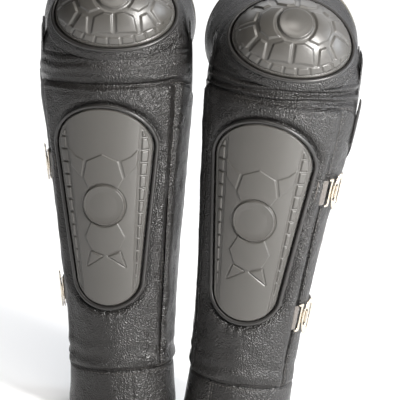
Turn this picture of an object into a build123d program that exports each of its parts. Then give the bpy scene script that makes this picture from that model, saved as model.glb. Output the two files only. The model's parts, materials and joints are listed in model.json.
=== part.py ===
"""A pair of padded leather knee and shin guards, in millimetres.

Every piece is drawn once, for the right guard, in that guard's own upright frame: +Z up the
leg, -Y to the front, +X to the outer side, with the origin on the leg's axis at the hem.
The left guard is its mirror image. Both are then leaned outwards and set side by side.
Growth means distance outside the leg cavity, so each layer of the wall is a pair of growths.
"""

import os
from functools import lru_cache
from math import asin, cos, degrees, radians, sin

from build123d import *

# ---- How the two guards stand ----
LEAN = 4.2                    # each guard leans outwards from its ankle, degrees
GUARD_X = 66.0                # leg axis at the hem, from the middle of the pair
LEFT_KNEE_LIFT = 12.0         # the left sleeve is pulled this much further up its knee
KNEE_TWIST = 12.0             # both knees are turned this far round their shins, to the right

# ---- The leg cavity: height, half width, half depth, middle depth ----
LEG_SECTIONS = [
    (-12, 52.5, 48.0, -4.0),
    (90, 50.0, 48.0, -4.5),
    (175, 56.0, 56.0, -2.0),
    (240, 62.0, 63.0, 0.0),
    (300, 68.0, 67.0, 1.0),
    (379, 76.0, 70.0, 0.5),
    (440, 78.0, 70.0, 0.0),
]
REACH = 260.0                 # larger than the guard is wide, for cutting tools

# ---- Layers of the wall, as growths ----
LINING = (0.0, 3.0)
FOAM = (3.3, 8.3)
LEATHER = (8.6, 10.1)
PADDED_LEATHER = (3.3, 10.1)
ARMOUR = (10.4, 14.4)
ARMOUR_RELIEF = (10.4, 16.0)
FLAP = (3.5, 8.5)
WEBBING = (10.5, 12.3)
PAD = (10.5, 11.2)
BAND = (11.4, 13.2)

# ---- Shin ----
KNEE_Z = 417.0                # height of the knee's bending axis
SHIN_TOP = 379.0
TOP_SLOPE = 0.85              # the shin's top edge falls this fast behind the knee
CUFF_TOP = 60.0
HEM_TOP = 8.0
SEAM_ANGLE = 60.0             # seams between front and side panels, from straight ahead
INNER_EDGE_ANGLE = -150.0     # rear edge of the inner panel
CUFF_SLIT_ANGLE = 166.0       # the cuff is open behind, between plus and minus this
PANEL_GAP = 0.4
FOAM_ANGLE = 58.0

# ---- Shin armour plate, drawn from the front ----
PLATE_WIDE_Z = 321.0
PLATE_NARROW_Z = 170.0
PLATE_WIDE = 55.0
PLATE_NARROW = 37.0
PLATE_TOP_ARC = 45.0
PLATE_FOOT_ARC = 32.0
PIPING = 5.0                  # width of the welt sewn round a plate
DISC_Z = 256.0
DISC_R = 24.0
SEGMENT_HALF = (15.0, 24.0)   # a facet's half width at its ends and at its middle
SEGMENT_LONG = 36.0
BLOCK_COUNT = 11
BLOCK_PITCH = 14.4
BLOCK_SIZE = (9.0, 12.0)
BLOCK_INSET = 7.5             # of the blocks' middle from the plate's edge

# ---- Rear opening on the outer side, seen from the side: depth of the edge at heights ----
OPENING_EDGE = [(20, -10), (240, -10), (320, 8), (400, 36)]
OPENING_GAP = 3.0
FLAP_Z = (78.0, 338.0)
FLAP_REAR_ANGLE = 207.0
HINGE_ANGLE = 208.5
BINDING = 3.0

# ---- Buckles ----
BUCKLE_Z = {"upper": 292.0, "lower": 144.0}
BUCKLE_ANGLE = 68.0
WEBBING_WIDTH = 28.0
TAB_ANGLES = (50.0, 62.0)
STRAP_ANGLES = {"upper": (78.5, 106.0), "lower": (80.5, 112.0)}
SHEET = 1.2                   # thickness of the pressed metal
TONGUE_HALF = 7.0
HORN_HALF = 16.5
TONGUE_END = 7.5
TONGUE_TIP = 2.9              # height of the tongue's turned-out tip
RING_LIFT = 1.5               # the ring lies this far above the tongue's inner face
RING_FRONT = 0.3
RING_BACK = 17.5
RING_HALF = 22.0

# ---- Knee ----
KNEE_R = 82.0                 # outer radius of the leather about the bending axis
KNEE_HALF = 90.0              # half width of the same surface
KNEE_TILT = 40.0              # the cup faces this far above straight ahead
CUP_RIM = (66.5, 50.0)
CUP_SHELL = 4.0
CUP_CENTRE = 40.0             # of the dome's ellipsoid, from the bending axis
CUP_DOME = (68.0, 54.3, 61.0)
CUP_DISC_R = 19.5
PETALS = 8
KNEE_PANEL = (76.0, 56.0)
GUSSET_X = 81.0
GUSSET = (25.0, 28.0)         # half length and half height of the side gussets
FOLD_PANEL_Z = (SHIN_TOP + 0.3, KNEE_Z - 10.0)

# ---- Thigh: distance behind the knee axis, half width, half height of the cavity ----
THIGH_SECTIONS = [(4, 64, 60), (32, 69.5, 66.5), (90, 75, 69.5), (156, 79, 73)]
THIGH_END = 150.0
THIGH_EDGE = -30.0            # side walls end this far below the thigh's axis
THIGH_TAB_Y = (112.0, 149.0)
THIGH_TAB_EDGE = -64.0

# ---- Hook-and-loop straps ----
KNEE_STRAP_HALF = 26.0        # half its height, measured upright
KNEE_STRAP_Z = -40.0          # height at KNEE_STRAP_Y, from the knee axis
KNEE_STRAP_Y = -10.0
KNEE_STRAP_END = 88.0
THIGH_STRAP_Y = (118.0, 143.0)
THIGH_STRAP_HINGE = 139.0     # angle of its sewn edge from the top, towards the inner side
PAD_SPAN = 16.0               # degrees of strap that a fastener pad covers


def inside(value, low, high):
    """Value limited to the range low to high."""
    return max(low, min(high, value))


@lru_cache
def leg_core(growth):
    """Solid of the leg cavity, grown by a layer's distance."""
    with BuildPart() as core:
        for z, half_width, half_depth, middle in LEG_SECTIONS:
            with BuildSketch(Plane((0, middle, z))):
                Ellipse(half_width + growth, half_depth + growth)
        loft()
    return core.part


@lru_cache
def thigh_core(growth):
    """Solid of the thigh cavity, lying back along +Y, grown by a layer's distance."""
    with BuildPart() as core:
        for y, half_width, half_height in THIGH_SECTIONS:
            with BuildSketch(Plane((0, y, KNEE_Z), x_dir=(1, 0, 0), z_dir=(0, 1, 0))):
                Ellipse(half_width + growth, half_height + growth)
        loft()
    return core.part


@lru_cache
def knee_ball(growth):
    """Spheroid about the bending axis, its skin growth outside the knee leather."""
    with BuildPart() as ball:
        with BuildSketch(Plane((0, 0, KNEE_Z), x_dir=(1, 0, 0), z_dir=(0, -1, 0))):
            Ellipse(KNEE_HALF + growth, KNEE_R + growth)
            with Locations((0, -REACH / 2)):
                Rectangle(2 * REACH, REACH, mode=Mode.SUBTRACT)
        revolve(axis=Axis((0, 0, KNEE_Z), (1, 0, 0)))
    return ball.part


def wall(core, layer):
    """The layer of a core between two growths."""
    inner, outer = layer
    with BuildPart() as shell:
        add(core(outer))
        add(core(inner), mode=Mode.SUBTRACT)
    return shell.part


def sector(start, end, low, high, turn_from=-90.0):
    """Upright wedge between two angles from straight ahead, positive to the outer side."""
    steps = max(2, int(abs(end - start) / 40) + 1)
    angles = [start + (end - start) * i / steps for i in range(steps + 1)]
    rim = [
        (REACH * cos(radians(turn_from + a)), REACH * sin(radians(turn_from + a)))
        for a in angles
    ]
    with BuildPart() as wedge:
        with BuildSketch(Plane.XY.offset(low)):
            Polygon((0, 0), *rim, align=None)
        extrude(amount=high - low)
    return wedge.part


def side_cut(points, x_low, x_high):
    """Prism of a side-view outline, points as (depth, height), between two widths."""
    with BuildPart() as prism:
        with BuildSketch(Plane.YZ.offset(x_low)):
            Polygon(*points, align=None)
        extrude(amount=x_high - x_low)
    return prism.part


def front_cut(outline, y_from=0.0):
    """Prism of a front-view sketch, from a depth forwards."""
    with BuildPart() as prism:
        with BuildSketch(Plane.XZ.offset(-y_from)):
            add(outline)
        extrude(amount=REACH)
    return prism.part


def below_shin_top(extra=0.0):
    """Everything under the shin's top edge, which is level in front and falls behind."""
    top = SHIN_TOP + extra
    fall = TOP_SLOPE * REACH
    return side_cut(
        [(-REACH, -REACH), (-REACH, top), (0, top), (REACH, top - fall), (REACH, -REACH)],
        -REACH,
        REACH,
    )


def above_ground():
    """Everything above the plane that both guards stand on, in this guard's frame."""
    up = (-sin(radians(LEAN)), 0, cos(radians(LEAN)))
    with BuildPart() as space:
        with BuildSketch(Plane(origin=(0, 0, 0), z_dir=up)):
            Rectangle(2 * REACH, 2 * REACH)
        extrude(amount=3 * REACH)
    return space.part


def kept(shape, *tools):
    """The part of a shape that lies inside every tool."""
    with BuildPart() as piece:
        add(shape)
        for tool in tools:
            add(tool, mode=Mode.INTERSECT)
    return piece.part


def without(shape, *tools):
    """A shape with the tools cut away."""
    with BuildPart() as piece:
        add(shape)
        for tool in tools:
            add(tool, mode=Mode.SUBTRACT)
    return piece.part


def together(*shapes):
    """Several shapes as one part."""
    with BuildPart() as group:
        for shape in shapes:
            add(shape)
    return group.part


# ---------------------------------------------------------------- shin sleeve

def opening_edge(shift, ahead):
    """Side-view space in front of the outer rear opening, or behind it."""
    edge = [(y + shift, z) for z, y in OPENING_EDGE]
    far = -REACH if ahead else REACH
    return side_cut([(far, -60), (edge[0][0], -60), *edge, (far, OPENING_EDGE[-1][0])], 0, REACH)


def outer_part():
    """Outer half of the sleeve, ahead of the rear opening."""
    return together(
        opening_edge(0, ahead=True),
        sector(-185, 0, -60, OPENING_EDGE[-1][0]),
    )


def shin_lining():
    """Plush lining of the shin sleeve."""
    around = sector(INNER_EDGE_ANGLE, 115, CUFF_TOP + 2.3, REACH * 2)
    return kept(wall(leg_core, LINING), around, outer_part(), below_shin_top())


def shin_foam():
    """Foam pad behind the shin armour."""
    front = sector(-FOAM_ANGLE, FOAM_ANGLE, CUFF_TOP + 30, SHIN_TOP - 4)
    return kept(wall(leg_core, FOAM), front)


def shin_front_panel():
    """Leather over the foam, between the two side seams."""
    front = sector(-SEAM_ANGLE, SEAM_ANGLE, CUFF_TOP + PANEL_GAP, SHIN_TOP)
    return kept(wall(leg_core, LEATHER), front)


def shin_side_panel(inner):
    """Padded leather side of the sleeve, from the seam to the rear."""
    seam = SEAM_ANGLE + PANEL_GAP
    start, end = (INNER_EDGE_ANGLE, -seam) if inner else (seam, 118)
    around = sector(start, end, CUFF_TOP + PANEL_GAP, REACH * 2)
    side = kept(wall(leg_core, PADDED_LEATHER), around, below_shin_top())
    return side if inner else kept(side, outer_part())


def fold_panel():
    """Thin leather that bridges the front of the knee, under the cup."""
    front = sector(-72, 72, *FOLD_PANEL_Z)
    return kept(wall(leg_core, (0.2, 1.8)), front)


def ankle_cuff():
    """Lined leather cuff below the shin, open behind."""
    around = sector(-CUFF_SLIT_ANGLE, CUFF_SLIT_ANGLE, HEM_TOP + PANEL_GAP, CUFF_TOP)
    return kept(wall(leg_core, (0.0, 9.6)), around)


def ankle_hem():
    """Binding round the cuff's lower edge, cut flat where it stands."""
    around = sector(-CUFF_SLIT_ANGLE, CUFF_SLIT_ANGLE, -12, HEM_TOP)
    return kept(wall(leg_core, (-0.6, 10.4)), around, above_ground())


# ---------------------------------------------------------------- shin armour

def plate_outline(grow=0.0):
    """Front view of the shin plate, grown or shrunk."""
    wide, narrow = PLATE_WIDE + grow, PLATE_NARROW + grow
    with BuildSketch() as outline:
        with BuildLine():
            Line((wide, PLATE_WIDE_Z), (narrow, PLATE_NARROW_Z))
            EllipticalCenterArc((0, PLATE_NARROW_Z), narrow, PLATE_FOOT_ARC + grow, 180, arc_size=180)
            Line((-narrow, PLATE_NARROW_Z), (-wide, PLATE_WIDE_Z))
            EllipticalCenterArc((0, PLATE_WIDE_Z), wide, PLATE_TOP_ARC + grow, 0, arc_size=180)
        make_face()
    return outline.sketch


def plate_relief():
    """Front view of what stands proud on the plate: a disc, facets and edge blocks."""
    end_half, middle_half = SEGMENT_HALF
    slope = (PLATE_WIDE - PLATE_NARROW) / (PLATE_WIDE_Z - PLATE_NARROW_Z)
    with BuildSketch() as relief:
        with Locations((0, DISC_Z)):
            Circle(DISC_R)
        for side in (-1, 1):
            near = DISC_Z + side * (DISC_R + 2)
            far = near + side * SEGMENT_LONG
            middle = (near + far) / 2
            Polygon(
                (-end_half, near), (-middle_half, middle), (-end_half, far),
                (end_half, far), (middle_half, middle), (end_half, near), align=None,
            )
            for row in range(BLOCK_COUNT):
                z = PLATE_NARROW_Z - 2 + BLOCK_PITCH * row
                edge = PLATE_NARROW + slope * (z - PLATE_NARROW_Z)
                with Locations((side * (edge - BLOCK_INSET), z)):
                    Rectangle(*BLOCK_SIZE)
    return relief.sketch


def shin_plate():
    """Moulded rubber shin plate with its relief."""
    with BuildPart() as plate:
        add(kept(wall(leg_core, ARMOUR), front_cut(plate_outline())))
        add(kept(wall(leg_core, ARMOUR_RELIEF), front_cut(plate_relief())))
    return plate.part


def shin_plate_piping():
    """Leather welt sewn round the shin plate."""
    ring = without(front_cut(plate_outline(PIPING)), front_cut(plate_outline(PANEL_GAP)))
    return kept(wall(leg_core, (10.4, 14.0)), ring)


# ---------------------------------------------------------------- knee

def knee_plane(distance=0.0):
    """Plane facing the way the knee cup faces, at a distance from the bending axis."""
    tilt = radians(KNEE_TILT)
    facing = Vector(0, -cos(tilt), sin(tilt))
    origin = Vector(0, 0, KNEE_Z) + facing * distance
    return Plane(origin=origin, x_dir=(1, 0, 0), z_dir=facing)


def knee_prism(half_width, half_height):
    """Oval prism along the way the cup faces."""
    with BuildPart() as prism:
        with BuildSketch(knee_plane()):
            Ellipse(half_width, half_height)
        extrude(amount=REACH)
    return prism.part


def dome(thinner):
    """Ellipsoid of the knee cup's crown, with its skin drawn in by a thickness."""
    sizes = tuple(half - thinner for half in CUP_DOME)
    ball = scale(Sphere(1, mode=Mode.PRIVATE), by=sizes, mode=Mode.PRIVATE)
    return knee_plane(CUP_CENTRE).location * ball


def cup_relief():
    """The cup's disc and petals, as prisms along the way it faces."""
    with BuildPart() as relief:
        with BuildSketch(knee_plane()):
            Circle(CUP_DISC_R)
            with PolarLocations(0, PETALS, start_angle=180 / PETALS):
                Polygon((25, -8), (25, 8), (41, 13), (41, -13), align=None)
        extrude(amount=REACH)
    return relief.part


def knee_cup():
    """Moulded knee cup: a domed shell on a flange that is sewn to the leather."""
    rim_x, rim_y = CUP_RIM
    crown = kept(without(dome(0), dome(CUP_SHELL)), knee_prism(rim_x - 3, rim_y - 3))
    raised = kept(without(dome(-1.6), dome(1.0)), cup_relief())
    flange = kept(wall(knee_ball, (0.3, 3.0)), knee_prism(rim_x, rim_y))
    rim = without(flange, knee_prism(rim_x - 11, rim_y - 10))
    return without(together(crown, raised, rim), knee_ball(0.3))


def knee_cup_piping():
    """Leather welt sewn round the knee cup."""
    ring = without(
        knee_prism(CUP_RIM[0] + 4.5, CUP_RIM[1] + 4.5),
        knee_prism(CUP_RIM[0] + 0.3, CUP_RIM[1] + 0.3),
    )
    return kept(wall(knee_ball, (0.3, 4.2)), ring)


def knee_panel():
    """Leather that carries the cup."""
    return kept(wall(knee_ball, (-1.9, 0)), knee_prism(*KNEE_PANEL))


def knee_foam():
    """Foam pad behind the cup."""
    return kept(wall(knee_ball, (-6.2, -2.2)), knee_prism(KNEE_PANEL[0] - 14, KNEE_PANEL[1] - 8))


def knee_gussets():
    """Flat leather gussets on both sides of the knee."""
    half_length, half_height = GUSSET
    with BuildPart() as gussets:
        for side in (-1, 1):
            with BuildSketch(Plane.YZ.offset(side * GUSSET_X)):
                with Locations((0, KNEE_Z)):
                    RectangleRounded(2 * half_length, 2 * half_height, 8)
            extrude(amount=side * 2.0)
    return gussets.part


# ---------------------------------------------------------------- calf flap

def flap_space(shrink=0.0):
    """Side-view space of the flap, under the slanting knee strap."""
    low, high = FLAP_Z
    fall = TOP_SLOPE * REACH
    front = OPENING_EDGE[0][1]
    return side_cut(
        [
            (-REACH, low + shrink),
            (-REACH, high - shrink),
            (front, high - shrink),
            (REACH, high - shrink - fall),
            (REACH, low + shrink),
        ],
        -REACH,
        REACH,
    )


def behind_opening(shift):
    """Everything behind the outer opening edge, and the whole inner half."""
    return together(opening_edge(shift, ahead=False), sector(170, 360, -60, REACH * 2))


def calf_flap():
    """Fleece-faced elastic panel that closes the back of the calf."""
    around = sector(60, FLAP_REAR_ANGLE, 0, REACH * 2)
    behind = behind_opening(OPENING_GAP + BINDING + PANEL_GAP)
    return kept(wall(leg_core, FLAP), around, flap_space(), behind)


def calf_flap_binding():
    """Binding tape along the flap's free edge."""
    around = sector(60, 170, 0, REACH * 2)
    strip = kept(wall(leg_core, FLAP), around, flap_space(), behind_opening(OPENING_GAP))
    return without(strip, opening_edge(OPENING_GAP + BINDING, ahead=False))


# ---------------------------------------------------------------- buckles

def section_at(z):
    """Half width, half depth and middle depth of the leg cavity at a height."""
    for lower, upper in zip(LEG_SECTIONS, LEG_SECTIONS[1:]):
        if z <= upper[0]:
            share = inside((z - lower[0]) / (upper[0] - lower[0]), 0, 1)
            return [a + (b - a) * share for a, b in zip(lower[1:], upper[1:])]
    return list(LEG_SECTIONS[-1][1:])


def surface_point(angle, z, growth):
    """Point of a grown leg surface, at an angle from straight ahead."""
    half_width, half_depth, middle = section_at(z)
    turn = radians(angle)
    x = (half_width + growth) * sin(turn)
    y = middle - (half_depth + growth) * cos(turn)
    return Vector(x, y, z)


def buckle_plane(which, lift=0.0):
    """Plane lying on the sleeve at a buckle: x to the back, y up the leg, z outwards."""
    z, step = BUCKLE_Z[which], 12.0
    here = surface_point(BUCKLE_ANGLE, z, WEBBING[1])
    ahead = surface_point(BUCKLE_ANGLE + 4, z, WEBBING[1])
    above = surface_point(BUCKLE_ANGLE, z + step, WEBBING[1])
    back = (ahead - here).normalized()
    out = back.cross((above - here).normalized())
    return Plane(origin=here + out * lift, x_dir=back, z_dir=out)


def buckle_hook(which):
    """Pressed hook plate: a bar with two horns, and a tongue that turns out at its tip."""
    with BuildPart() as hook:
        with BuildSketch(buckle_plane(which)):
            with Locations((-2, 0)):
                Rectangle(4, 2 * HORN_HALF)
            for side in (-1, 1):
                with Locations((-5, side * (HORN_HALF - 1.25))):
                    RectangleRounded(8, 2.5, 1.2)
            with Locations((TONGUE_END / 2, 0)):
                Rectangle(TONGUE_END, 2 * TONGUE_HALF)
        extrude(amount=SHEET)
        with BuildSketch(buckle_plane(which)):
            with Locations((TONGUE_END - SHEET / 2, 0)):
                Rectangle(SHEET, 2 * TONGUE_HALF)
        extrude(amount=TONGUE_TIP)
    return hook.part


def buckle_ring(which):
    """Pressed D ring: a slot for the tongue in front, and one for the webbing behind."""
    middle = (RING_FRONT + RING_BACK) / 2
    with BuildPart() as ring:
        with BuildSketch(buckle_plane(which, RING_LIFT)):
            with BuildLine():
                Line((RING_BACK, -RING_HALF + 3), (RING_BACK, RING_HALF - 3))
                Line((RING_BACK, RING_HALF - 3), (middle + 3, RING_HALF))
                ThreePointArc((middle + 3, RING_HALF), (3.2, 14), (RING_FRONT, 0))
                ThreePointArc((RING_FRONT, 0), (3.2, -14), (middle + 3, -RING_HALF))
                Line((middle + 3, -RING_HALF), (RING_BACK, -RING_HALF + 3))
            make_face()
            with Locations((6.1, 0)):
                Rectangle(5.6, 19, mode=Mode.SUBTRACT)
            with Locations((13, 0)):
                Rectangle(3.2, WEBBING_WIDTH + 2, mode=Mode.SUBTRACT)
        extrude(amount=SHEET)
    return ring.part


def webbing(which, start, end, layer=WEBBING):
    """Strip of webbing round the sleeve at a buckle's height, between two angles."""
    low = BUCKLE_Z[which] - WEBBING_WIDTH / 2
    return kept(wall(leg_core, layer), sector(start, end, low, low + WEBBING_WIDTH))


def buckle_tabs():
    """Webbing tabs that hold the hooks to the outer seam."""
    return together(*[webbing(which, *TAB_ANGLES) for which in BUCKLE_Z])


def buckle_hooks():
    """Both hook plates."""
    return together(*[buckle_hook(which) for which in BUCKLE_Z])


# ---------------------------------------------------------------- straps

def knee_strap_space():
    """Side-view band that slants down behind the knee."""
    points = []
    for y, side in ((-REACH, -1), (REACH, -1), (REACH, 1), (-REACH, 1)):
        middle = KNEE_Z + KNEE_STRAP_Z - TOP_SLOPE * (y - KNEE_STRAP_Y)
        points.append((y, middle + side * KNEE_STRAP_HALF))
    return side_cut(points, -REACH, REACH)


def knee_strap():
    """Elastic strap behind the knee, sewn to the inner panel."""
    around = sector(KNEE_STRAP_END, HINGE_ANGLE, 0, REACH * 2)
    return kept(wall(leg_core, BAND), around, knee_strap_space())


def knee_strap_fastener():
    """Hook pad under the knee strap's free end."""
    around = sector(KNEE_STRAP_END + 1, KNEE_STRAP_END + PAD_SPAN, 0, REACH * 2)
    return kept(wall(leg_core, PAD), around, knee_strap_space())


def thigh_sector(start, end, y_low, y_high):
    """Wedge round the thigh's axis, between angles from its top, outer side positive."""
    upright = sector(start, end, y_low, y_high, turn_from=90.0)
    plane = Plane((0, 0, KNEE_Z), x_dir=(-1, 0, 0), z_dir=(0, 1, 0))
    return plane.location * upright


def thigh_strap():
    """Elastic strap under the thigh, sewn to the inner tab."""
    return kept(wall(thigh_core, BAND), thigh_sector(84, 360 - THIGH_STRAP_HINGE, *THIGH_STRAP_Y))


def thigh_strap_fastener():
    """Hook pad inside the thigh strap's free end."""
    return kept(wall(thigh_core, PAD), thigh_sector(85, 84 + PAD_SPAN, *THIGH_STRAP_Y))


# ---------------------------------------------------------------- thigh sleeve

def above_edge(y_low, y_high, edge=THIGH_EDGE, x_high=REACH):
    """Side-view space above an edge, given from the thigh's axis, between two depths."""
    low, high = KNEE_Z + edge, KNEE_Z + REACH
    return side_cut([(y_low, low), (y_high, low), (y_high, high), (y_low, high)], -REACH, x_high)


def thigh_space(y_low):
    """Side-view space of the thigh's half pipe, with the tab that its strap is sewn to."""
    over = above_edge(y_low, THIGH_END - PANEL_GAP)
    return together(over, above_edge(*THIGH_TAB_Y, edge=THIGH_TAB_EDGE, x_high=-20))


def thigh_panel():
    """Padded leather over the top and sides of the thigh."""
    return kept(wall(thigh_core, PADDED_LEATHER), thigh_space(5))


def thigh_lining():
    """Plush lining of the thigh."""
    return kept(wall(thigh_core, LINING), thigh_space(7))


def thigh_hem():
    """Binding round the thigh's far edge."""
    return kept(wall(thigh_core, (-0.5, 10.6)), above_edge(THIGH_END, THIGH_END + 5))


# ---------------------------------------------------------------- placing and writing

SLEEVE = {
    "shin_lining": shin_lining(),
    "shin_foam": shin_foam(),
    "shin_front_panel": shin_front_panel(),
    "shin_outer_panel": shin_side_panel(inner=False),
    "shin_inner_panel": shin_side_panel(inner=True),
    "fold_panel": fold_panel(),
    "ankle_cuff": ankle_cuff(),
    "ankle_hem": ankle_hem(),
    "shin_plate": shin_plate(),
    "shin_plate_piping": shin_plate_piping(),
    "buckle_tabs": buckle_tabs(),
    "buckle_hooks": buckle_hooks(),
    "calf_flap": calf_flap(),
    "calf_flap_binding": calf_flap_binding(),
    "upper_strap": webbing("upper", *STRAP_ANGLES["upper"]),
    "upper_ring": buckle_ring("upper"),
    "lower_strap": webbing("lower", *STRAP_ANGLES["lower"]),
    "lower_ring": buckle_ring("lower"),
    "knee_strap": knee_strap(),
    "knee_strap_fastener": knee_strap_fastener(),
}
KNEE = {
    "knee_cup": knee_cup(),
    "knee_cup_piping": knee_cup_piping(),
    "knee_panel": knee_panel(),
    "knee_foam": knee_foam(),
    "knee_gussets": knee_gussets(),
    "thigh_panel": thigh_panel(),
    "thigh_lining": thigh_lining(),
    "thigh_hem": thigh_hem(),
    "thigh_strap": thigh_strap(),
    "thigh_strap_fastener": thigh_strap_fastener(),
}


def standing(piece, side, lift=0.0, twist=0.0):
    """A right-hand piece where it stands in the pair: side 1 is right, -1 is left."""
    handed = piece if side > 0 else mirror(piece, about=Plane.YZ)
    turned = Location((0, 0, lift), (0, 0, twist)) * handed
    return Location((side * GUARD_X, 0, 0), (0, side * LEAN, 0)) * turned


parts = {}
for side_name, side in (("left", -1), ("right", 1)):
    knee_lift = LEFT_KNEE_LIFT if side < 0 else 0.0
    for name, piece in SLEEVE.items():
        parts[f"{side_name}_{name}"] = standing(piece, side)
    for name, piece in KNEE.items():
        parts[f"{side_name}_{name}"] = standing(piece, side, knee_lift, KNEE_TWIST)

boxes = [part.bounding_box() for part in parts.values()]
middle_x = (min(box.min.X for box in boxes) + max(box.max.X for box in boxes)) / 2
middle_y = (min(box.min.Y for box in boxes) + max(box.max.Y for box in boxes)) / 2
centring = Location((-middle_x, -middle_y, 0))
os.makedirs("parts", exist_ok=True)
for name, part in parts.items():
    centred = centring * part
    centred.label = name
    export_step(centred, f"parts/{name}.step")
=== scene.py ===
"""A pair of padded leather shin and knee guards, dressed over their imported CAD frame.

Shapes are worked out in millimetres in each guard's own upright frame: +x to its outer side,
-y to the front, +z up the leg from the hem. A Guard then places them in the frame's metres.
Angles round the leg run from straight ahead, positive to the outer side. A growth is a
distance outside the leg cavity.
"""

import json
import math

import bpy
import numpy as np
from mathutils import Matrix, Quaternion, Vector


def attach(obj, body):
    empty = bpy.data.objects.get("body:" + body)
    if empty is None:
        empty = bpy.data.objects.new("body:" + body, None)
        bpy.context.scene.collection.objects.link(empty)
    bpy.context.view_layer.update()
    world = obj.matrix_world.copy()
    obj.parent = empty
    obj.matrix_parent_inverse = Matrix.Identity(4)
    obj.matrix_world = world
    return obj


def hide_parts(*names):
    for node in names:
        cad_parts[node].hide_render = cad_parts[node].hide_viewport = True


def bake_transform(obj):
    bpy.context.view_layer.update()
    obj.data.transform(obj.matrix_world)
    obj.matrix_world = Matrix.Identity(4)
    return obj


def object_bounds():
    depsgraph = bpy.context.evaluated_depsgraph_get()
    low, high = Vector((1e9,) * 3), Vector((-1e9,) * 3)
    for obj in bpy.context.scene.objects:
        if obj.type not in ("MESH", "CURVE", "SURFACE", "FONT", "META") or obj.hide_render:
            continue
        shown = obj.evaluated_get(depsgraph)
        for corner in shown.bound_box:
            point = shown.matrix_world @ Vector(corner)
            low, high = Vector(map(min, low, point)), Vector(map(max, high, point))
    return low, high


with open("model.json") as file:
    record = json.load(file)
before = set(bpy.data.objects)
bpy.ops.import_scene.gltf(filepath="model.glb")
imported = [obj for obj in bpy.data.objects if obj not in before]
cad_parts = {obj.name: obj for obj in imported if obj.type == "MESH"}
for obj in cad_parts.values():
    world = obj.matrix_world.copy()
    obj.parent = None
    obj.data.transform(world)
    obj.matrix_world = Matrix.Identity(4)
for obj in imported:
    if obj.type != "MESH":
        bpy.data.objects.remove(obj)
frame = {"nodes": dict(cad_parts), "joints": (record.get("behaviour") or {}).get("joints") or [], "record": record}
cad_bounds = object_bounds()

# ---- Driving dimensions, in millimetres and degrees, the same as the CAD's ----
LEG_Z = (-12, 90, 175, 240, 300, 379, 440)
LEG_HALF_WIDTH = (52.5, 50, 56, 62, 68, 76, 78)
LEG_HALF_DEPTH = (48, 48, 56, 63, 67, 70, 70)
LEG_MIDDLE = (-4, -4.5, -2, 0, 1, 0.5, 0)
THIGH_Y = (4, 32, 90, 156)
THIGH_HALF_WIDTH = (64, 69.5, 75, 79)
THIGH_HALF_HEIGHT = (60, 66.5, 69.5, 73)
KNEE_Z = 417.0
KNEE_LIFT = {"left": 12.0, "right": 0.0}
KNEE_R, KNEE_HALF = 82.0, 90.0
SHIN_TOP, TOP_SLOPE = 379.0, 0.85
CUFF_TOP, HEM_TOP = 60.0, 8.0
SEAM = 60.0
SKIN = 10.1                 # growth of the leather's outer face
OPENING_Z = (20, 240, 320, 400)
OPENING_Y = (-10, -10, 8, 36)
FLAP_Z = (78.0, 338.0)
PLATE_WIDE_Z, PLATE_NARROW_Z = 321.0, 170.0
PLATE_WIDE, PLATE_NARROW = 55.0, 37.0
PLATE_TOP_ARC, PLATE_FOOT_ARC = 45.0, 32.0
KNEE_TILT = 40.0
CUP_RIM = (66.5, 50.0)
CUP_DOME = (68.0, 54.3, 61.0)
CUP_CENTRE = 40.0
KNEE_SEAM = 392.0           # where the shin's leather is sewn to the knee's, in front
STITCH = 4.2                # pitch of a seam's stitches
LINING_FACE = 3.0           # growth of the lining's outer face
PAD_INNER = 3.3             # growth where the padded leather starts
INNER_EDGE_ANGLE = -150.0   # rear edge of the inner panel
OUTER_EDGE_LIMIT = 118.0    # rear edge of the outer panel where the opening does not cut it
FOAM_ANGLE = 58.0
HEM_ANGLE = 166.0           # the cuff is open behind these angles
THIGH_END = 149.6
THIGH_EDGE, THIGH_TAB_EDGE = -30.0, -64.0
HINGE_ANGLE = 207.0         # where the flap is sewn on
BUCKLE_Z = {"upper": 292.0, "lower": 144.0}
TAB_ANGLES = (50.0, 62.0)
STRAP_ANGLES = {"upper": (78.5, 106.0), "lower": (80.5, 112.0)}
WEBBING_HALF = 14.0
WEBBING_LAYER = (10.5, 12.3)
BAND_LAYER = (11.4, 13.0)
FINE = 1.0


# ---- numbers ----

def curve(at, knots, values):
    """Smooth curve through knots, by Catmull-Rom slopes."""
    knots, values = np.asarray(knots, float), np.asarray(values, float)
    at = np.clip(np.asarray(at, float), knots[0], knots[-1])
    slopes = np.gradient(values, knots)
    i = np.clip(np.searchsorted(knots, at) - 1, 0, len(knots) - 2)
    width = knots[i + 1] - knots[i]
    t = (at - knots[i]) / width
    return (
        values[i] * (1 + 2 * t) * (1 - t) ** 2
        + values[i + 1] * t * t * (3 - 2 * t)
        + slopes[i] * width * t * (1 - t) ** 2
        - slopes[i + 1] * width * t * t * (1 - t)
    )


def bump(x, middle, width):
    """Smooth hill of height one, as wide as width on each side."""
    return np.exp(-(((x - middle) / width) ** 2))


def step(x, low, high):
    """Smooth rise from zero to one."""
    t = np.clip((x - low) / (high - low), 0, 1)
    return t * t * (3 - 2 * t)


def faded(share, rim):
    """One inside a strip that runs from 0 to 1, falling to zero at both its edges."""
    return step(share, 0, rim) * step(1 - share, 0, rim)


def unit_grid(rows, columns):
    """Share of the way across and up a grid, as a row and a column."""
    return np.linspace(0, 1, columns)[None, :], np.linspace(0, 1, rows)[:, None]


def rolled(share):
    """Growth of a binding from one edge to the other."""
    return 9.2 + 1.5 * np.sqrt(np.clip(1 - (2 * share - 1) ** 2, 0, 1))


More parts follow.
